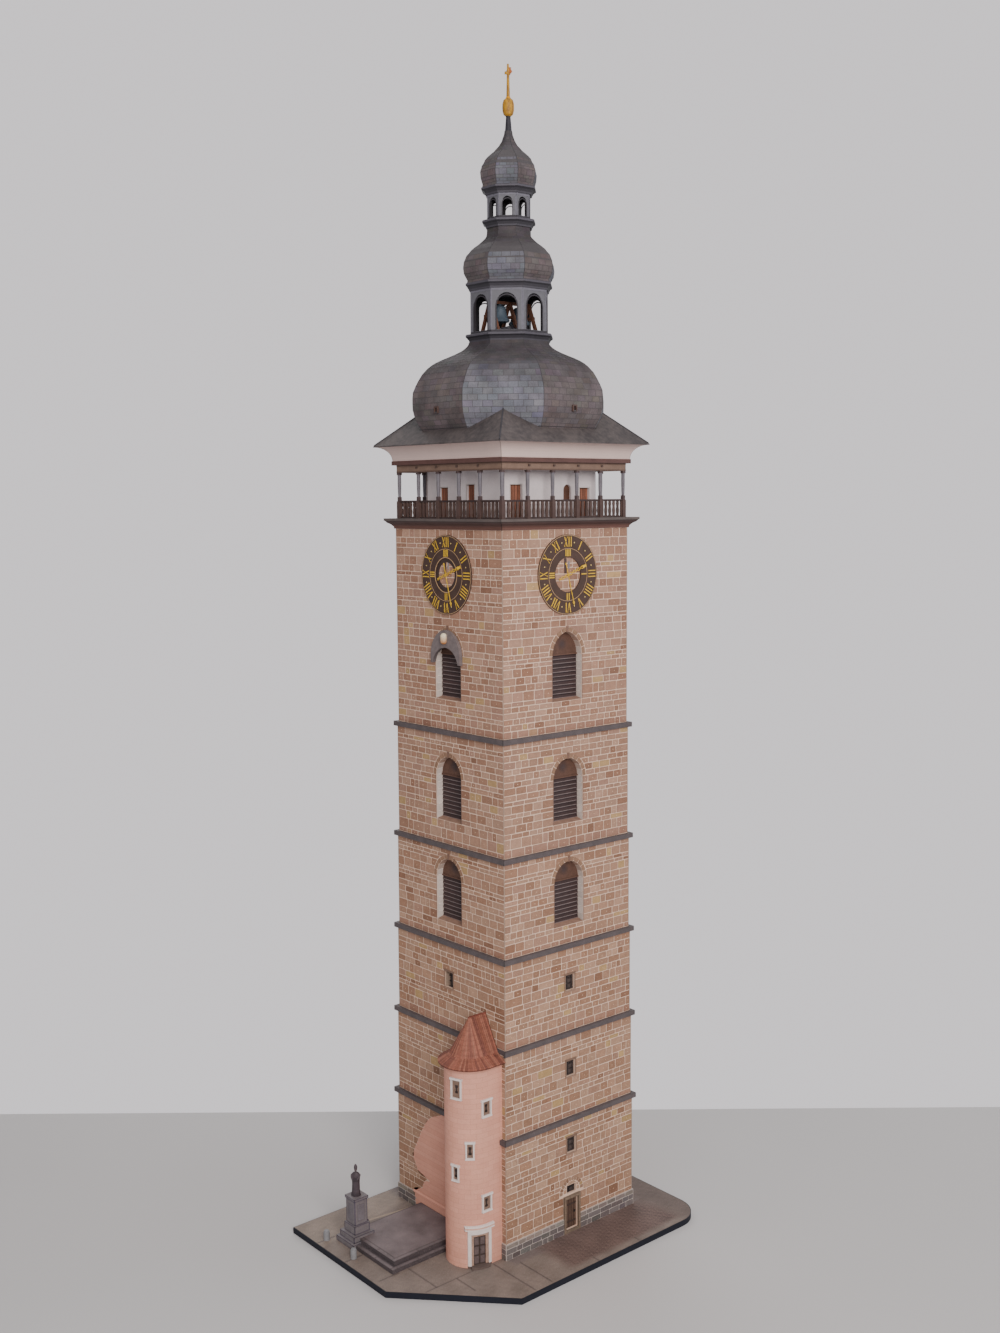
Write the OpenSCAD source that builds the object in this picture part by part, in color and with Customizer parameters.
// Card model of a clock tower on its base board.
// Millimetres, +Z up, tower axis on the Z axis, underside of the board at z = 0.
// The front wall faces -Y and the wall with the stair turret faces -X.

/* [Board] */
// Thickness of the base board
board_thickness = 2.5; // [1.5:0.1:6]
// Reach of the board beyond the terrace
board_margin = 9.5; // [8:0.5:30]
// Reach of the board to the right of the tower axis
board_right = 55; // [45:0.5:80]
// Reach of the board in front of the tower axis
board_front = 61.5; // [50:0.5:80]
// Reach of the board behind the tower axis
board_back = 44; // [42:0.5:70]
// Length of the cut corner along the front edge
board_cut_x = 37; // [10:0.5:45]
// Length of the cut corner along the left edge
board_cut_y = 38.9; // [10:0.5:45]
// Radius of the round front right corner
board_round = 13; // [4:0.5:18]

/* [Tower walls] */
// Half width of the top storey
wall_half = 34.3; // [31:0.1:38]
// Step out of each lower storey
storey_step = 0.4; // [0.1:0.05:0.8]
// Thickness of the wall card
card = 1.0; // [0.6:0.1:1.5]
// First storey, from the board to the middle of the first string course
storey_1 = 49.8; // [46:0.1:56]
// Second storey between string course middles
storey_2 = 37.1; // [34:0.1:44]
// Third storey between string course middles
storey_3 = 37.4; // [34:0.1:44]
// Fourth storey between string course middles
storey_4 = 40.8; // [39:0.1:46]
// Fifth storey between string course middles
storey_5 = 47.7; // [42:0.1:54]
// Sixth storey from the last string course to the gallery cornice
storey_6 = 82.7; // [80:0.1:90]
// Height of a string course
course_height = 2.0; // [1.4:0.1:3]
// Overhang of a string course
course_over = 1.2; // [0.6:0.1:2]
// Inner half width of the ring behind each string course
course_inner = 27; // [20:0.5:29]
// Height of the stone plinth
plinth_height = 6.7; // [4:0.1:9]
// Overhang of the stone plinth
plinth_over = 0.5; // [0.3:0.1:1]

/* [Windows] */
// Width of a belfry window
belfry_width = 16.3; // [12:0.1:16.6]
// Height of a belfry window up to the springing
belfry_spring = 18.5; // [14:0.1:19]
// Rise of the pointed arch of the sixth storey
belfry_rise = 9.7; // [8.4:0.1:11]
// Rise of the nearly round arches of the fourth and fifth storeys
low_rise = 8.4; // [8.4:0.1:10]
// Depth from the wall face to the louvres
reveal_depth = 3.4; // [2:0.1:5]
// Depth of the pocket behind a slit window
pocket_depth = 2.4; // [1.6:0.1:4]
// Thickness of the reveal card
reveal_card = 0.8; // [0.6:0.1:1.2]
// Sill of the sixth storey window above its string course
sill_6 = 13.4; // [10:0.1:18]
// Sill of the fifth storey window above its string course
sill_5 = 10.6; // [8:0.1:14]
// Sill of the fourth storey window above its string course
sill_4 = 8.6; // [6:0.1:10]
// Width of a slit window
slit_width = 5.2; // [3:0.1:7]
// Height of a slit window
slit_height = 6.6; // [4:0.1:9]
// Sill of the third storey slit above its string course
slit_3 = 18.2; // [12:0.1:24]
// Sill of the second storey slit above its string course
slit_2 = 18.5; // [12:0.1:24]
// Sill of the first storey slit above the board
slit_1 = 35.0; // [28:0.1:38]

/* [Front door] */
// Width of the stone door frame
door_frame_width = 9.3; // [8.4:0.1:12]
// Height of the stone door frame
door_frame_height = 16.3; // [15.6:0.1:18]
// Width of the door opening
door_width = 7.0; // [5:0.1:7.4]
// Height of the door opening above its sill
door_height = 13.7; // [11:0.1:14]
// Height of the door sill
door_sill = 1.3; // [0.6:0.1:2]
// Height of the small window above the door
transom_height = 3.6; // [2.5:0.1:5]

/* [Clock] */
// Outer radius of a dial
dial_radius = 16.1; // [13:0.1:18]
// Radius of the open middle of a dial
dial_hole = 7.0; // [5:0.1:8]
// Gap between a dial's rim and the gallery cornice
dial_gap = 2.2; // [1:0.1:6]
// Thickness of the dial card
dial_card = 0.6; // [0.4:0.1:1]
// Thickness of a hand
hand_card = 0.5; // [0.4:0.1:0.8]

/* [Stair turret] */
// Distance of the round end's centre in front of the top storey's wall face
turret_out = 9.9; // [7:0.1:13]
// Offset of the turret from the tower axis towards the front
turret_side = 23.5; // [18:0.1:24]
// Outer radius of the turret
turret_radius = 10.4; // [8:0.1:11]
// Height of the turret wall
turret_height = 83.3; // [80:0.1:84.5]
// Overhang of the turret eaves
turret_eaves = 2.4; // [1.5:0.1:3]
// Rise of the flared eaves
turret_flare = 3.2; // [2:0.1:6]
// Rise of the steep roof above the flare
turret_rise = 14.5; // [8:0.1:16]
// Width of the larger turret window frames
turret_window_width = 4.9; // [4:0.1:5.4]
// Height of a turret window frame
turret_window_height = 7.1; // [6:0.1:8]
// Width of the turret door frame
turret_frame_width = 10.1; // [9:0.1:11]
// Height of the turret door frame
turret_frame_height = 18; // [16:0.1:19]

/* [Terrace and statue] */
// Reach of the terrace from the tower axis
terrace_reach = 77.5; // [70:0.5:80]
// Front edge of the terrace from the tower axis
terrace_front = 14.5; // [13.5:0.1:18]
// Back edge of the terrace behind the tower axis
terrace_back = 20; // [14:0.1:30]
// Height of one terrace step
terrace_rise = 1.75; // [1:0.05:2.5]
// Depth of one terrace tread
terrace_tread = 2.6; // [1.5:0.1:4]
// Distance of the pedestal's axis from the end of the terrace
pedestal_inset = 5; // [2:0.1:9]
// Pedestal centre behind the tower axis
pedestal_y = 17.2; // [8:0.1:26]
// Width of the pedestal's lowest step
pedestal_width = 12.4; // [10:0.1:14]
// Height of the whole pedestal
pedestal_height = 20; // [16:0.1:24]
// Distance of the bollards in front of the terrace
bollard_gap = 4.5; // [2:0.1:7]
// Radius of a bollard
bollard_radius = 1.3; // [0.8:0.1:1.8]
// Height of a bollard
bollard_height = 4.2; // [3:0.1:6]
// Height of the statue
statue_height = 13.4; // [10:0.1:16]

/* [Gallery] */
// Height of the gallery cornice
cornice_height = 3.3; // [2:0.1:5]
// Overhang of the gallery deck beyond the wall
deck_over = 3.6; // [2:0.1:6]
// Thickness of the gallery deck
deck_card = 1.0; // [0.8:0.1:1.5]
// Distance of the posts' middle line inside the wall face
post_inset = 1.3; // [0:0.1:3]
// Height of the gallery posts
post_height = 18.9; // [16:0.1:22]
// Width of a post in the railing
post_width = 1.8; // [1.4:0.1:2.2]
// Radius of a post above the railing
post_radius = 0.65; // [0.5:0.05:0.9]
// Height of the railing
rail_height = 7.4; // [6:0.1:9]
// Height of the beam on the posts
beam_height = 3.1; // [2:0.1:4]
// Height of the board on the beam
ceiling_height = 1.7; // [1:0.1:2.5]
// Overhang of the board on the beam beyond the posts' middle line
ceiling_over = 2.3; // [1.2:0.1:3]
// Distance of the lodge wall inside the posts' middle line
walk_width = 8.0; // [6:0.1:10]
// Middle of the lodge's small window from the axis
lodge_window_x = 8.9; // [4:0.05:10]
// Width of the lodge's small window
lodge_window_width = 4.3; // [2.5:0.1:5]
// Sill of the lodge's small window above the deck
lodge_window_sill = 7.0; // [5:0.1:9]

/* [Roofs] */
// Rise of the white cove
cove_height = 5.8; // [4:0.1:8]
// Overhang of the eaves beyond the board on the beam
eaves_over = 5.4; // [4:0.1:8]
// Slope of the skirt roof
skirt_slope = 0.93; // [0.8:0.01:1.1]
// Thickness of the roof card
roof_card = 0.9; // [0.7:0.1:1.3]
// Distance of the lower dome inside the eaves
dome_inset = 2.3; // [1.5:0.1:6]
// Height of the lower dome
lower_dome_height = 35.6; // [32:0.1:42]
// Width of a dormer on the lower dome
dormer_width = 2.2; // [1.6:0.1:3]
// Height of a dormer on the lower dome
dormer_height = 2.6; // [1.8:0.1:3.5]
// Height of a dormer above the dome's foot
dormer_rise = 6.2; // [4:0.1:9]
// Half width of the bell lantern
bell_lantern_half = 15.4; // [14:0.1:16]
// Height of the bell lantern between its cornices
bell_lantern_height = 17.4; // [15:0.1:22]
// Width of a bell lantern arch
bell_arch_width = 8.2; // [6:0.1:9]
// Height of a bell lantern arch up to its springing
bell_arch_spring = 10.4; // [8:0.1:11]
// Largest half width of the middle dome
middle_dome_half = 18.1; // [17:0.1:19]
// Height of the middle dome
middle_dome_height = 22; // [19:0.1:26]
// Half width of the top lantern
top_lantern_half = 8.5; // [7.5:0.1:9]
// Height of the top lantern between its cornices
top_lantern_height = 9.8; // [8:0.1:13]
// Width of a top lantern arch
top_arch_width = 3.8; // [2.5:0.1:4.5]
// Height of a top lantern arch up to its springing
top_arch_spring = 5.6; // [4:0.1:6]
// Largest half width of the top dome
top_dome_half = 11.1; // [10:0.1:12]
// Height of the top dome
top_dome_height = 22.5; // [19:0.1:26]
// Height of a lantern cornice
lantern_cornice = 3.2; // [2:0.1:4]
// Overhang of a lantern cornice
lantern_over = 2.1; // [1.2:0.1:2.6]
// Rise of the bell lantern's floor
floor_rise = 4.2; // [2:0.1:6]
// Height of the bell frame above the lantern's foot
frame_height = 13.6; // [12.6:0.1:14]
// Thickness of the bell frame's timbers
frame_timber = 1.2; // [0.8:0.1:1.6]
// Half distance between the bell frame's outer trestles
frame_half = 10.4; // [10:0.1:10.8]
// Mouth radius of the large bell
bell_radius = 4.6; // [3.6:0.1:4.7]
// Height of the spire tip
spire_height = 5.8; // [4:0.1:8]
// Radius of the finial ball
ball_radius = 2.4; // [1.8:0.1:3]
// Height of the finial ball
ball_height = 7.0; // [5:0.1:8]
// Height of the finial rod
rod_height = 13.4; // [10:0.1:18]

/* [Hidden] */
$fn = 48;
// Place of the pedestal and reach of the blocks that cut past the tower
pedestal_x = terrace_reach - pedestal_inset;
cut_reach = 3 * wall_half;

// Levels, measured from the underside of the board
z_board = board_thickness;
z_c1 = z_board + storey_1;
z_c2 = z_c1 + storey_2;
z_c3 = z_c2 + storey_3;
z_c4 = z_c3 + storey_4;
z_c5 = z_c4 + storey_5;
z_wall = z_c5 + storey_6;
COURSES = [z_c1, z_c2, z_c3, z_c4, z_c5];
z_dial = z_wall - dial_gap - dial_radius;
board_left = terrace_reach + board_margin;
deck_half = wall_half + deck_over;
post_half = wall_half - post_inset;
ceiling_half = post_half + ceiling_over;
lodge_half = post_half - walk_width;
eaves_half = ceiling_half + eaves_over;
lower_dome_half = eaves_half - dome_inset;
z_deck = z_wall + cornice_height + deck_card;
z_beam = z_deck + post_height;
z_ceiling = z_beam + beam_height;
z_cove = z_ceiling + ceiling_height;
z_eaves = z_cove + cove_height;
eaves_edge = 0.4;
skirt_top_half = 24;
// The dome's foot meets the skirt where the roof plane reaches the dome's foot width
lower_neck = bell_lantern_half + 0.7;
middle_neck = top_lantern_half + 0.1;
spire_radius = 1.4;
dome_foot_half = lower_neck + 0.828 * (lower_dome_half - lower_neck);
z_dome = z_eaves + eaves_edge + (eaves_half - dome_foot_half) * skirt_slope;
z_bell_base = z_dome + lower_dome_height;
z_bell = z_bell_base + lantern_cornice;
z_bell_top = z_bell + bell_lantern_height;
z_middle = z_bell_top + lantern_cornice;
z_top_base = z_middle + middle_dome_height;
z_top = z_top_base + lantern_cornice;
z_top_end = z_top + top_lantern_height;
z_cap = z_top_end + lantern_cornice;
z_spire = z_cap + top_dome_height;
z_ball = z_spire + spire_height;
z_rod = z_ball + ball_height;
turret_x = -(wall_half + turret_out);
turret_y = -turret_side;
z_turret = z_board + turret_height;
eave_radius = turret_radius + turret_eaves;
knee_radius = turret_radius - 2.6;

// Half width of a storey, counted from the ground
function half(i) = wall_half + storey_step * (6 - i);
// Lower and upper edge of a storey's wall card
function z_low(i) = i == 1 ? z_board : COURSES[i - 2] + course_height / 2;
function z_high(i) = i == 6 ? z_wall : COURSES[i - 1] - course_height / 2;
// Sill of the belfry window of a storey
function z_sill(i) = i == 6 ? z_c5 + sill_6 : i == 5 ? z_c4 + sill_5 : z_c3 + sill_4;

// Rise of the belfry arch of a storey
function arch_rise(i) = i == 6 ? belfry_rise : low_rise;

// Turns a thing built on the front wall to another side
module side(k) {
    rotate([0, 0, -90 * k]) children();
}

// Pointed arch outline with its foot at the origin
module pointed_arch(w, s, r) {
    big = (r * r + w * w / 4) / w;
    top = asin(r / big);
    polygon(concat(
        [[-w / 2, 0], [w / 2, 0]],
        [for (k = [0:9]) [w / 2 - big + big * cos(top * k / 9), s + big * sin(top * k / 9)]],
        [for (k = [8:-1:0]) [big - w / 2 - big * cos(top * k / 9), s + big * sin(top * k / 9)]]));
}

// Round arch outline with its foot at the origin
module round_arch(w, s) {
    polygon(concat([[-w / 2, 0], [w / 2, 0]],
        [for (k = [0:12]) [w / 2 * cos(15 * k), s + w / 2 * sin(15 * k)]]));
}

// Stands an outline up on the front side between two depths
module upright(y0, y1) {
    translate([0, y1, 0]) rotate([90, 0, 0]) linear_extrude(y1 - y0) children();
}

// Octagon outline with flats on the axes
module octagon(a) {
    polygon([for (k = [0:7]) a / cos(22.5) * [cos(22.5 + 45 * k), sin(22.5 + 45 * k)]]);
}

// Octagonal plate
module octagon_plate(a, z0, z1) {
    translate([0, 0, z0]) linear_extrude(z1 - z0) octagon(a);
}

// Square plate
module square_plate(a, z0, z1) {
    translate([-a, -a, z0]) cube([2 * a, 2 * a, z1 - z0]);
}

// Turns a half profile into an eight sided roof
module eight_sided() {
    rotate([0, 0, 22.5]) rotate_extrude($fn = 8) scale([1 / cos(22.5), 1]) children();
}

// Turns a half profile into a four sided roof
module four_sided() {
    rotate([0, 0, 45]) rotate_extrude($fn = 4) scale([sqrt(2), 1]) children();
}

// Inward normal of a profile that runs upwards
function along(P, i) = P[min(i + 1, len(P) - 1)] - P[max(i - 1, 0)];
function inward(P, i) = [-along(P, i)[1], along(P, i)[0]] / norm(along(P, i));
function inner(P, t) = [for (i = [0:len(P) - 1]) P[i] + t * inward(P, i)];
function back(P) = [for (i = [len(P) - 1:-1:0]) P[i]];

// Dome profiles as shares of the largest half width and of the height
LOWER = [[0.9, 0], [0.934, 0.058], [0.963, 0.112], [0.985, 0.167], [0.998, 0.23], [1, 0.3],
    [1, 0.364], [0.994, 0.433], [0.968, 0.499], [0.937, 0.564], [0.899, 0.633], [0.843, 0.699],
    [0.806, 0.732], [0.76, 0.764], [0.698, 0.797], [0.628, 0.83], [0.56, 0.863], [0.502, 0.896],
    [0.46, 0.929], [0.432, 0.962], [0.419, 1]];
MIDDLE = [[0.92, 0], [0.908, 0.05], [0.945, 0.105], [0.983, 0.165], [1, 0.27], [0.983, 0.377],
    [0.928, 0.486], [0.872, 0.536], [0.823, 0.59], [0.746, 0.645], [0.657, 0.7], [0.586, 0.755],
    [0.52, 0.81], [0.486, 0.864], [0.475, 0.92], [0.475, 1]];
TOP = [[0.93, 0], [0.915, 0.045], [0.95, 0.1], [0.98, 0.156], [1, 0.262], [0.97, 0.31],
    [0.946, 0.364], [0.87, 0.418], [0.83, 0.471], [0.74, 0.524], [0.634, 0.573], [0.51, 0.627],
    [0.42, 0.68], [0.33, 0.729], [0.268, 0.782], [0.214, 0.836], [0.179, 0.884], [0.143, 0.933],
    [0.125, 1]];
// The last point of each list is the neck under the next piece
function share(P, i) = (P[i][0] - P[len(P) - 1][0]) / (1 - P[len(P) - 1][0]);
function sized(P, a, neck, z, h) =
    [for (i = [0:len(P) - 1]) [neck + (a - neck) * share(P, i), z + h * P[i][1]]];

// Base board with one cut corner and one round corner
module base_board() {
    color("#2c3140") linear_extrude(board_thickness) difference() {
        union() {
            polygon([[-board_left, board_back], [-board_left, board_cut_y - board_front],
                [board_cut_x - board_left, -board_front], [board_right - board_round, -board_front],
                [board_right - board_round, board_round - board_front],
                [board_right, board_round - board_front], [board_right, board_back]]);
            translate([board_right - board_round, board_round - board_front]) circle(board_round);
        }
    }
}

// Outline of the stair turret, round end and straight sides
module turret_outline(r, wall) {
    difference() {
        translate([turret_x, turret_y]) circle(r);
        translate([turret_x, turret_y - r - 1]) square([2 * r, 2 * r + 2]);
    }
    translate([turret_x, turret_y - r]) square([-wall - turret_x, 2 * r]);
}

// Two steps beside the turret
module terrace() {
    color("#756f6f") difference() {
        union() {
            translate([-terrace_reach, -terrace_front, z_board])
                cube([terrace_reach - half(1) - plinth_over, terrace_front + terrace_back, terrace_rise]);
            translate([terrace_tread - terrace_reach, terrace_tread - terrace_front, z_board])
                cube([terrace_reach - terrace_tread - half(1) - plinth_over,
                    terrace_front - terrace_tread + terrace_back, 2 * terrace_rise]);
        }
        translate([0, 0, z_board - 1]) linear_extrude(10) turret_outline(turret_radius, half(1));
        translate([-pedestal_x - pedestal_width / 2, pedestal_y - pedestal_width / 2, z_board - 1])
            cube([pedestal_width, pedestal_width, 10]);
    }
}

// One square block of the pedestal
module pedestal_block(w, s0, s1) {
    translate([-pedestal_x - w * pedestal_width / 2, pedestal_y - w * pedestal_width / 2,
        z_board + s0 * pedestal_height])
        cube([w * pedestal_width, w * pedestal_width, (s1 - s0) * pedestal_height]);
}

module statue_pedestal() {
    color("#7c7a80") {
        pedestal_block(1, 0, 0.11);
        pedestal_block(0.82, 0.11, 0.24);
        pedestal_block(0.6, 0.24, 0.42);
        pedestal_block(0.5, 0.42, 0.94);
        pedestal_block(0.56, 0.94, 1);
    }
}

// Robed standing figure
module statue() {
    h = statue_height;
    color("#4a4247") translate([-pedestal_x, pedestal_y, z_board + pedestal_height]) {
        rotate_extrude() polygon([[0, 0], [0.15 * h, 0], [0.15 * h, 0.05 * h], [0.13 * h, 0.06 * h],
            [0.12 * h, 0.3 * h], [0.14 * h, 0.55 * h], [0.13 * h, 0.7 * h], [0.06 * h, 0.76 * h], [0, 0.77 * h]]);
        translate([0, 0, 0.81 * h]) sphere(0.068 * h);
        translate([0, 0, 0.86 * h]) cylinder(h = 0.14 * h, r1 = 0.06 * h, r2 = 0.02 * h);
        translate([-0.11 * h, -0.06 * h, 0.5 * h]) sphere(0.055 * h);
        translate([-0.08 * h, 0.12 * h, 0.52 * h]) sphere(0.055 * h);
    }
}

// Small dark ornament on the pedestal's upper step
module step_ornament() {
    translate([-pedestal_x + 0.355 * pedestal_width, pedestal_y - 0.1 * pedestal_width,
        z_board + 0.24 * pedestal_height]) color("#2f2c30") {
        cylinder(h = 2.6, r = 0.62);
        translate([0, 0, 2.9]) sphere(0.62);
    }
}

module bollards() {
    color("#a8b0b4") for (y = [pedestal_y - 11, pedestal_y + 8.7])
        translate([-terrace_reach - bollard_gap, y, z_board]) {
            cylinder(h = 0.85 * bollard_height, r = bollard_radius);
            translate([0, 0, 0.85 * bollard_height]) cylinder(h = 0.15 * bollard_height, r = 0.77 * bollard_radius);
        }
}

// Grey stone plinth on the outside of the walls
module plinth() {
    color("#7b746f") difference() {
        square_plate(half(1) + plinth_over, z_board, z_board + plinth_height);
        square_plate(half(1), z_board - 1, z_board + plinth_height + 1);
        translate([-door_frame_width / 2, -half(1) - 5, z_board - 1])
            cube([door_frame_width, 10, plinth_height + 2]);
        translate([0, 0, z_board - 1]) linear_extrude(plinth_height + 2)
            turret_outline(turret_radius, half(1));
    }
}

// Slit windows as side, storey and sill
SLITS = [[0, 3], [1, 3], [2, 3], [3, 3], [0, 2], [2, 2], [3, 2], [0, 1]];
function z_slit(i) = i == 3 ? z_c2 + slit_3 : i == 2 ? z_c1 + slit_2 : z_board + slit_1;
z_transom = z_board + door_frame_height + 0.8;

// One storey's wall card on the front side
module storey(i, inset) {
    translate([-half(i) + inset, -half(i), z_low(i)])
        cube([2 * (half(i) - inset), card, z_high(i) - z_low(i)]);
}

// Six storeys of one side with their openings
module wall(k, inset) {
    color("#a98f80") side(k) difference() {
        for (i = [1:6]) storey(i, inset);
        for (i = [4:6]) translate([0, 0, z_sill(i)])
            upright(-half(i) - 1, -half(i) + card + 1) pointed_arch(belfry_width, belfry_spring, arch_rise(i));
        for (s = SLITS) if (s[0] == k)
            translate([-slit_width / 2, -half(s[1]) - 1, z_slit(s[1])]) cube([slit_width, card + 2, slit_height]);
        if (k == 0) {
            translate([-door_width / 2, -half(1) - 1, z_board + door_sill])
                cube([door_width, card + 2, door_height]);
            translate([-slit_width / 2, -half(1) - 1, z_transom])
                cube([slit_width, card + 2, transom_height]);
        }
    }
}

module front_wall() {
    wall(0, 0);
}

module left_wall() {
    wall(1, card);
}

module back_wall() {
    wall(2, 0);
}

module right_wall() {
    wall(3, card);
}

// Five dark rings, cut flush where the turret leans on them
module string_courses() {
    color("#4d4340") difference() {
        for (i = [1:5])
            square_plate(half(i) + course_over, COURSES[i - 1] - course_height / 2, COURSES[i - 1] + course_height / 2);
        square_plate(course_inner, z_board, z_wall);
        translate([-half(1) - 9, turret_y - turret_radius, z_c1 - 5])
            cube([9, 2 * turret_radius, 10]);
        translate([-half(2) - 9, turret_y - eave_radius, z_c2 - 5])
            cube([9, 2 * eave_radius, 10]);
    }
}

// Reveal cards behind the twelve belfry windows
module belfry_reveals() {
    t = reveal_card;
    color("#c9bcae") for (k = [0:3]) side(k) for (i = [4:6]) translate([0, 0, z_sill(i)])
        upright(-half(i) + card, -half(i) + reveal_depth) difference() {
            translate([0, -t]) pointed_arch(belfry_width + 2 * t, belfry_spring + t, arch_rise(i) + t);
            pointed_arch(belfry_width, belfry_spring, arch_rise(i));
        }
}

// Louvre cards that close the belfry windows
module belfry_louvres() {
    t = reveal_card;
    color("#3a3130") for (k = [0:3]) side(k) for (i = [4:6]) translate([0, -half(i) + reveal_depth, z_sill(i)])
        upright(0, t)
            translate([0, -t]) pointed_arch(belfry_width + 2 * t, belfry_spring + t, arch_rise(i) + t);
}

// Closed pocket behind a rectangular opening
module pocket(w, h) {
    t = reveal_card;
    difference() {
        translate([-w / 2 - t, 0, -t]) cube([w + 2 * t, pocket_depth, h + 2 * t]);
        translate([-w / 2, -1, 0]) cube([w, 1 + pocket_depth - t, h]);
    }
}

module slit_windows() {
    color("#5a5250") {
        for (s = SLITS) side(s[0]) translate([0, -half(s[1]) + card, z_slit(s[1])])
            pocket(slit_width, slit_height);
        translate([0, -half(1) + card, z_transom]) pocket(slit_width, transom_height);
    }
}

module front_door_frame() {
    color("#9c948c") difference() {
        translate([-door_frame_width / 2, -half(1) - 0.8, z_board])
            cube([door_frame_width, 0.8, door_frame_height]);
        translate([-door_width / 2, -half(1) - 2, z_board + door_sill]) cube([door_width, 4, door_height]);
    }
}

module front_door() {
    color("#5b3d2c") translate([-door_width / 2 - 0.5, -half(1) + card, z_board + door_sill - 0.5])
        cube([door_width + 1, reveal_card, door_height + 1]);
}

// Four clock dials, each an open ring on the wall
module clock_dials() {
    color("#241d1a") for (k = [0:3]) side(k) translate([0, -half(6), z_dial]) rotate([90, 0, 0])
        difference() {
            cylinder(h = dial_card, r = dial_radius, $fn = 96);
            translate([0, 0, -1]) cylinder(h = dial_card + 2, r = dial_hole, $fn = 96);
        }
}

// One hand that points along +Z, from a boss to its tip
module hand(length, width) {
    linear_extrude(hand_card) {
        circle(1.2);
        polygon([[-0.3, 0], [0.3, 0], [width / 2, 0.7 * length], [0, length], [-width / 2, 0.7 * length]]);
    }
}

module clock_hands() {
    color("#b8923c") for (k = [0:3]) side(k) translate([0, -half(6) - dial_card, z_dial])
        rotate([90, 0, 0]) {
            rotate([0, 0, -70]) hand(9.6, 2.4);
            rotate([0, 0, -165]) hand(13, 1.4);
        }
}

// Lead hood over the upper window of the turret side
hood_proud = 1.6;
module window_hood() {
    z_h = z_sill(6) + belfry_spring - 3.6;
    color("#6d6c76") side(1) difference() {
        translate([0, 0, z_h]) upright(-half(6) - hood_proud, -half(6))
            pointed_arch(belfry_width + 2.6, 3.2, 10.7);
        translate([0, -half(6) + 1, z_h - 1.6]) rotate([90, 0, 0]) cylinder(h = hood_proud + 2, r = belfry_width / 2 + 0.1);
    }
}

module hood_bell() {
    color("#c8a862") side(1) difference() {
        translate([0, -half(6) - hood_proud - 0.5, 0]) {
            translate([0, 0, z_sill(6) + belfry_spring + 5.8]) cylinder(h = 1.9, r = 1.35);
            translate([0, 0, z_sill(6) + belfry_spring + 7.7]) sphere(1.35);
            translate([0, 0, z_sill(6) + belfry_spring + 5.8]) sphere(1.35);
        }
        translate([-5, -half(6) - hood_proud, z_sill(6)]) cube([10, 10, 40]);
    }
}

// Turret windows as angle, middle height and shares of the full width and height
SPIRAL = [[-160.5, turret_height - 8.6, 1, 1.2], [-90, turret_height - 17, 1, 1], [-130, 49.5, 0.74, 1], [-164, 39.5, 0.7, 0.94],
    [-91, 26.7, 1, 1]];
door_angle = -108.4;
// White border of a window and of the door
window_edge = 0.6;
door_edge = 1.25;

// Places a box on the turret's round wall, outward along -Y
module on_turret(a, z) {
    translate([turret_x, turret_y, z_board + z]) rotate([0, 0, a + 90]) translate([0, -turret_radius, 0]) children();
}

module turret_window_box(s, edge, y0, y1) {
    w = s[2] * turret_window_width - 2 * edge;
    h = s[3] * turret_window_height - 2 * edge;
    translate([-w / 2, y0, -h / 2]) cube([w, y1 - y0, h]);
}

// Part of a curved band round the turret at its door, between two offsets from the wall's face
module turret_band(w, z0, z1, r0, r1) {
    intersection() {
        translate([0, 0, z_board + z0]) linear_extrude(z1 - z0) difference() {
            turret_outline(turret_radius + r1, half(1));
            turret_outline(turret_radius + r0, half(1));
        }
        on_turret(door_angle, z0 - 1) translate([-w / 2, -6, 0]) cube([w, 12, z1 - z0 + 2]);
    }
}

module turret_wall() {
    color("#c79a8a") difference() {
        union() {
            translate([0, 0, z_board]) linear_extrude(z_c1 + course_height / 2 - z_board) difference() {
                turret_outline(turret_radius, half(1));
                turret_outline(turret_radius - card, half(1) - 1);
            }
            translate([0, 0, z_c1 + course_height / 2]) linear_extrude(z_turret - z_c1 - course_height / 2) difference() {
                turret_outline(turret_radius, half(2));
                turret_outline(turret_radius - card, half(2) - 1);
            }
        }
        for (s = SPIRAL) on_turret(s[0], s[1]) turret_window_box(s, 0, -3, 3);
        on_turret(door_angle, 0) translate([-turret_frame_width / 2, -3, -1])
            cube([turret_frame_width, 8, turret_frame_height + 1]);
    }
}

// Solid under the turret's flared roof
module turret_roof_solid() {
    z1 = turret_flare;
    z2 = turret_flare + turret_rise;
    P = [[0, 0], [eave_radius, 0], [knee_radius, z1], [0, z2]];
    translate([turret_x, turret_y, 0]) {
        rotate_extrude() polygon(P);
        rotate([90, 0, 90]) linear_extrude(-half(3) - turret_x)
            polygon([[-eave_radius, 0], [eave_radius, 0], [knee_radius, z1], [0, z2], [-knee_radius, z1]]);
    }
}

module turret_roof() {
    color("#a4523f") difference() {
        translate([0, 0, z_turret]) difference() {
            turret_roof_solid();
            difference() {
                translate([0, 0, -roof_card - 0.3]) turret_roof_solid();
                translate([-cut_reach, -cut_reach, -card]) cube([2 * cut_reach, 2 * cut_reach, card + roof_card]);
            }
        }
        translate([-half(2), -cut_reach, 0]) cube([cut_reach, 2 * cut_reach, z_c2 + course_height / 2]);
        translate([-half(3), -cut_reach, 0]) cube([cut_reach, 2 * cut_reach, z_c3]);
    }
}

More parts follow.
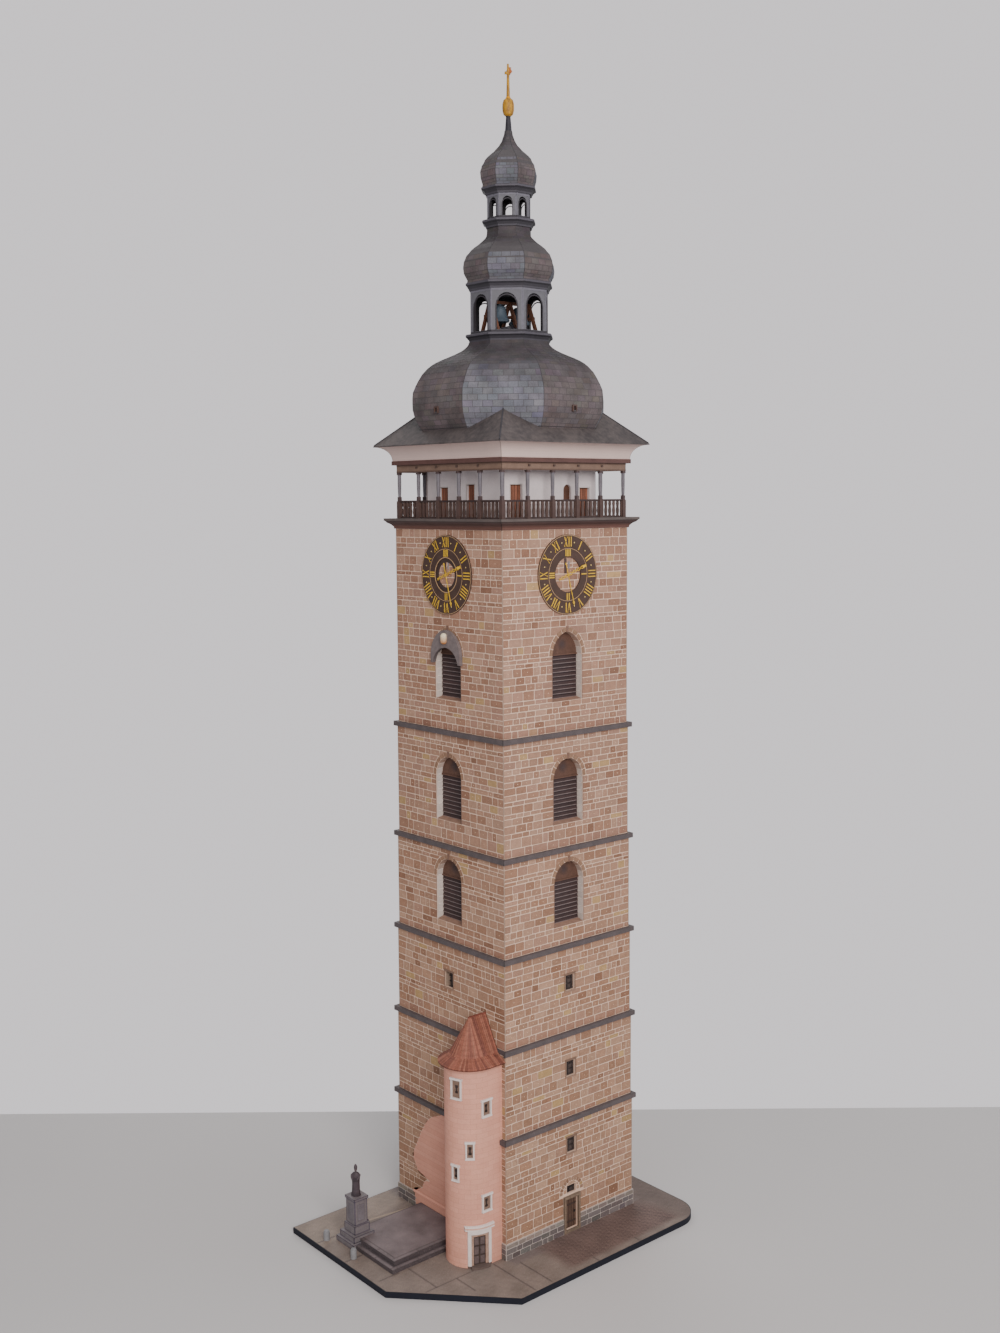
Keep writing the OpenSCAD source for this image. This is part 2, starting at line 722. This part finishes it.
// White frame with a cornice and a threshold, bent round the wall
module turret_door_frame() {
    w = turret_frame_width;
    h = turret_frame_height;
    color("#c9c4c0") {
        difference() {
            turret_band(w, 0, h, -1.6, 0.5);
            on_turret(door_angle, -1) translate([-w / 2 + door_edge, -4, 0]) cube([w - 2 * door_edge, 9, h - 2.7]);
        }
        turret_band(w + 2.4, h - 1.8, h, 0.03, 1.2);
        turret_band(w - 2, 0, 1, -1.6, 1.8);
    }
}

module turret_door() {
    w = turret_frame_width;
    color("#5a4a48") on_turret(door_angle, 1) translate([-w / 2 + door_edge, 1.2, 0])
        cube([w - 2 * door_edge, reveal_card, turret_frame_height - 4.7]);
}

// White frames in the turret wall
module turret_windows() {
    color("#d8d4d2") for (s = SPIRAL) on_turret(s[0], s[1]) difference() {
        turret_window_box(s, 0, -0.4, 1.6);
        turret_window_box(s, window_edge, -3, 3);
    }
}

module turret_panes() {
    color("#3d3434") for (s = SPIRAL) on_turret(s[0], s[1]) turret_window_box(s, window_edge, 0.3, 1.1);
}

// Flared brown cornice under the gallery deck
module gallery_cornice() {
    a = half(6);
    e = deck_half - 0.3;
    color("#4b3a33") four_sided() translate([0, z_wall]) polygon([[course_inner, 0], [a + 0.5, 0],
        [a + 0.6, 0.25 * cornice_height], [a + 0.45 * (e - a), 0.55 * cornice_height],
        [a + 0.8 * (e - a), 0.75 * cornice_height], [e, cornice_height], [course_inner, cornice_height]]);
}

module gallery_deck() {
    color("#57453b") square_plate(deck_half, z_wall + cornice_height, z_deck);
}

// Lodge openings as side, middle, width and height
LODGE = [[0, -18.8, 6.2, 13.4], [0, 18.5, 5.6, 12.1], [1, -13.2, 5.6, 12.6], [1, 4.2, 5, 13.6],
    [2, -12, 5.2, 12.6], [3, 10, 5.2, 12.6]];

module lodge_walls() {
    color("#c8c0bd") difference() {
        square_plate(lodge_half, z_deck, z_ceiling);
        square_plate(lodge_half - card, z_deck - 1, z_ceiling + 1);
        for (d = LODGE) side(d[0]) translate([d[1] - d[2] / 2, -lodge_half - 1, z_deck]) cube([d[2], card + 2, d[3]]);
        translate([lodge_window_x, -lodge_half - 1, z_deck + lodge_window_sill])
            upright(0, card + 2) round_arch(lodge_window_width, lodge_window_width);
    }
}

module lodge_doors() {
    color("#6a4a3a") {
        for (d = LODGE) side(d[0]) translate([d[1] - d[2] / 2 - 0.5, -lodge_half + card, z_deck])
            cube([d[2] + 1, reveal_card, d[3] + 0.5]);
        translate([lodge_window_x - lodge_window_width / 2 - 0.5, -lodge_half + card,
            z_deck + lodge_window_sill - 0.5])
            cube([lodge_window_width + 1, reveal_card, 1.5 * lodge_window_width + 1]);
    }
}

bay = 2 * post_half / 5;

// One post with a thick foot, a turned shaft and a cap
module post() {
    w = post_width;
    foot = rail_height + 1.6;
    translate([-w / 2, -w / 2, 0]) cube([w, w, foot]);
    translate([0, 0, foot]) cylinder(h = post_height - foot, r = post_radius, $fn = 24);
    translate([-w / 2 + 0.1, -w / 2 + 0.1, post_height - 0.8]) cube([w - 0.2, w - 0.2, 0.8]);
}

module gallery_posts() {
    color("#6b625f") for (k = [0:3]) side(k) for (j = [0:4])
        translate([-post_half + j * bay, -post_half, z_deck]) post();
}

// Railing panels between the posts
module gallery_railing() {
    n = 5;
    gap = bay - post_width;
    pitch = gap / n;
    color("#54382b") for (k = [0:3]) side(k) for (j = [0:4])
        translate([-post_half + j * bay + post_width / 2, -post_half - 0.45, z_deck]) {
            cube([gap, 0.9, 0.6]);
            translate([0, 0, rail_height - 0.8]) cube([gap, 0.9, 0.8]);
            for (m = [1:n - 1]) translate([m * pitch - 0.6, 0.1, 0.3]) cube([1.2, 0.7, rail_height - 0.6]);
            for (u = [0, gap - 0.6]) translate([u, 0.1, 0.3]) cube([0.6, 0.7, rail_height - 0.6]);
        }
}

// Beam on the posts and the board that closes the gallery
module gallery_beam() {
    color("#75574a") {
        difference() {
            square_plate(post_half + 0.8, z_beam, z_ceiling);
            square_plate(post_half - 0.8, z_beam - 1, z_ceiling + 1);
        }
        square_plate(ceiling_half, z_ceiling, z_cove);
    }
}

// Hollow curve from the board out to the eaves
module eaves_cove() {
    a = ceiling_half - 0.3;
    e = eaves_half - 0.3;
    P = [for (k = [0:8]) [e - (e - a) * cos(90 * k / 8), z_cove + cove_height * sin(90 * k / 8)]];
    Q = [for (k = [0:8]) [e - 1 - (e - a) * cos(90 * k / 8), z_cove + cove_height * sin(90 * k / 8)]];
    color("#ddd2d0") four_sided() polygon(concat(P, back(Q)));
}

// Square outline of the skirt roof's upper face
function skirt_z(a) = z_eaves + eaves_edge + (eaves_half - a) * skirt_slope;

module skirt_roof() {
    e = eaves_half;
    v = roof_card * sqrt(1 + skirt_slope * skirt_slope);
    color("#77777e") four_sided() polygon([[e - 2, z_eaves], [e, z_eaves], [e, z_eaves + eaves_edge],
        [skirt_top_half, skirt_z(skirt_top_half)], [skirt_top_half, skirt_z(skirt_top_half) - v],
        [e - 2, skirt_z(e - 2) - v]]);
}

// Closed outline of a dome shell
module shell_profile(P) {
    polygon(concat(P, back(inner(P, roof_card))));
}

module lower_dome() {
    P = sized(LOWER, lower_dome_half, lower_neck, z_dome - 0.5, lower_dome_height + 0.5);
    color("#7d7d86") difference() {
        union() {
            eight_sided() polygon(concat(P, [[P[20][0] - roof_card, P[20][1]]],
                [for (i = [19:-1:0]) inner(P, roof_card)[i]]));
            for (k = [0:3]) side(k) translate([-dormer_width / 2, -lower_dome_half - 0.7, z_dome + dormer_rise])
                cube([dormer_width, 1.2, dormer_height]);
        }
        four_sided() polygon([[0, z_eaves], [eaves_half + 1, z_eaves - 1], [eaves_half, skirt_z(eaves_half)],
            [0, skirt_z(0)]]);
        for (k = [0:3]) side(k) translate([-dormer_width / 2 + 0.4, -lower_dome_half - 2, z_dome + dormer_rise + 0.5])
            cube([dormer_width - 0.8, 1.9, dormer_height - 1]);
    }
}

// Eight arched sides around an open middle
module lantern(a, z0, z1, w, s) {
    difference() {
        octagon_plate(a, z0, z1);
        octagon_plate(a - card, z0 - 1, z1 + 1);
        for (k = [0:7]) rotate([0, 0, 45 * k]) translate([0, 0, z0 + 1])
            upright(-a - 3, -a + 3) round_arch(w, s);
    }
}

module bell_lantern() {
    color("#8a8d98") lantern(bell_lantern_half, z_bell, z_bell_top, bell_arch_width, bell_arch_spring);
}

// Low eight sided floor inside a lantern
module lantern_floor(a, z, h) {
    eight_sided() polygon([[0, z], [a, z], [0, z + h]]);
}

// One leg of a trestle, from the floor up to the beam
module trestle_leg(x, s) {
    lean = atan2(0.4 * frame_height, frame_height);
    translate([x - frame_timber / 2, -s * 0.4 * frame_height, 0]) rotate([-s * lean, 0, 0])
        translate([0, -frame_timber / 2, -2]) cube([frame_timber, frame_timber, frame_height / cos(lean) + 2]);
}

// Timber frame that carries the bells
beam_reach = frame_half + 0.8;
TRESTLES = [-frame_half, 0, frame_half];
module bell_frame() {
    color("#6e4c36") difference() {
        translate([0, 0, z_bell]) intersection() {
            union() {
                for (x = TRESTLES) for (s = [-1, 1]) trestle_leg(x, s);
                translate([-beam_reach, -frame_timber / 2, frame_height - frame_timber])
                    cube([2 * beam_reach, frame_timber, frame_timber]);
                for (x = TRESTLES) translate([x - frame_timber / 2, -3.4, frame_height / 2])
                    cube([frame_timber, 6.8, frame_timber]);
            }
            translate([-20, -20, -1]) cube([40, 40, frame_height + 1]);
        }
        lantern_floor(bell_lantern_half - card - 0.3, z_bell - 0.1, floor_rise + 0.1);
        translate([-30, -30, z_bell - 5]) cube([60, 60, 5]);
    }
}

// Bell outline with its top at zero
module bell(r, h) {
    rotate_extrude() polygon([[0, 0], [0.35 * r, 0], [0.55 * r, -0.12 * h], [0.62 * r, -0.5 * h],
        [0.75 * r, -0.8 * h], [r, -h], [0, -h]]);
}

module bells() {
    color("#6c7686") translate([0, 0, z_bell + frame_height - frame_timber]) {
        translate([frame_half / 2, 0, 0]) bell(bell_radius, frame_height - frame_timber - floor_rise - 0.2);
        translate([-frame_half / 2, 0, 0]) bell(0.91 * bell_radius, 0.92 * (frame_height - frame_timber - floor_rise - 0.2));
    }
}

// Flared octagonal plate, widest at its top
module moulding(a, o, z) {
    h = lantern_cornice;
    eight_sided() translate([0, z]) polygon([[0, 0], [a + 0.3 * o, 0], [a + 0.36 * o, 0.2 * h],
        [a + 0.62 * o, 0.5 * h], [a + o, 0.68 * h], [a + o, 0.9 * h], [a + 0.75 * o, h], [0, h]]);
}

module lantern_cornices() {
    color("#8b8e99") {
        moulding(bell_lantern_half, lantern_over, z_bell_base);
        lantern_floor(bell_lantern_half - card - 0.3, z_bell - 0.1, floor_rise + 0.1);
        moulding(bell_lantern_half, lantern_over - 0.2, z_bell_top);
        moulding(top_lantern_half, lantern_over, z_top_base);
        lantern_floor(top_lantern_half - card - 0.3, z_top - 0.1, 0.4 * floor_rise);
        moulding(top_lantern_half, lantern_over + 0.3, z_top_end);
    }
}

module middle_dome() {
    color("#7d7d86") eight_sided() shell_profile(sized(MIDDLE, middle_dome_half, middle_neck, z_middle, middle_dome_height));
}

module top_lantern() {
    color("#8a8d98") lantern(top_lantern_half, z_top, z_top_end, top_arch_width, top_arch_spring);
}

// Top dome, solid in its narrow neck
module top_dome() {
    P = sized(TOP, top_dome_half, spire_radius, z_cap, top_dome_height);
    Q = inner(P, roof_card);
    color("#7d7d86") eight_sided() polygon(concat(P, [[0, P[18][1]], [0, Q[11][1]]],
        [for (i = [11:-1:0]) Q[i]]));
}

module spire_tip() {
    color("#2c2c34") translate([0, 0, z_spire]) cylinder(h = spire_height, r1 = spire_radius, r2 = 0.65 * spire_radius);
}

// Gilded ball, rod and small vane
module finial() {
    r = ball_radius;
    h = ball_height;
    color("#c9a04a") {
        translate([0, 0, z_ball]) rotate_extrude() polygon([[0, 0], [0.45 * r, 0], [0.8 * r, 0.1 * h],
            [0.97 * r, 0.3 * h], [r, 0.5 * h], [0.97 * r, 0.7 * h], [0.8 * r, 0.9 * h], [0.45 * r, h], [0, h]]);
        translate([0, 0, z_rod]) cylinder(h = rod_height, r1 = 0.75, r2 = 0.4, $fn = 24);
        translate([-1.6, -0.25, z_rod + rod_height - 4.2]) cube([2.6, 0.5, 1.0]);
        translate([-0.3, -0.25, z_rod + rod_height - 3.4]) cube([1.5, 0.5, 2.2]);
    }
}

base_board();
terrace();
statue_pedestal();
statue();
step_ornament();
bollards();
plinth();
front_wall();
left_wall();
back_wall();
right_wall();
string_courses();
belfry_reveals();
belfry_louvres();
slit_windows();
front_door_frame();
front_door();
clock_dials();
clock_hands();
window_hood();
hood_bell();
turret_wall();
turret_roof();
turret_door_frame();
turret_door();
turret_windows();
turret_panes();
gallery_cornice();
gallery_deck();
lodge_walls();
lodge_doors();
gallery_posts();
gallery_railing();
gallery_beam();
eaves_cove();
skirt_roof();
lower_dome();
bell_lantern();
bell_frame();
bells();
lantern_cornices();
middle_dome();
top_lantern();
top_dome();
spire_tip();
finial();
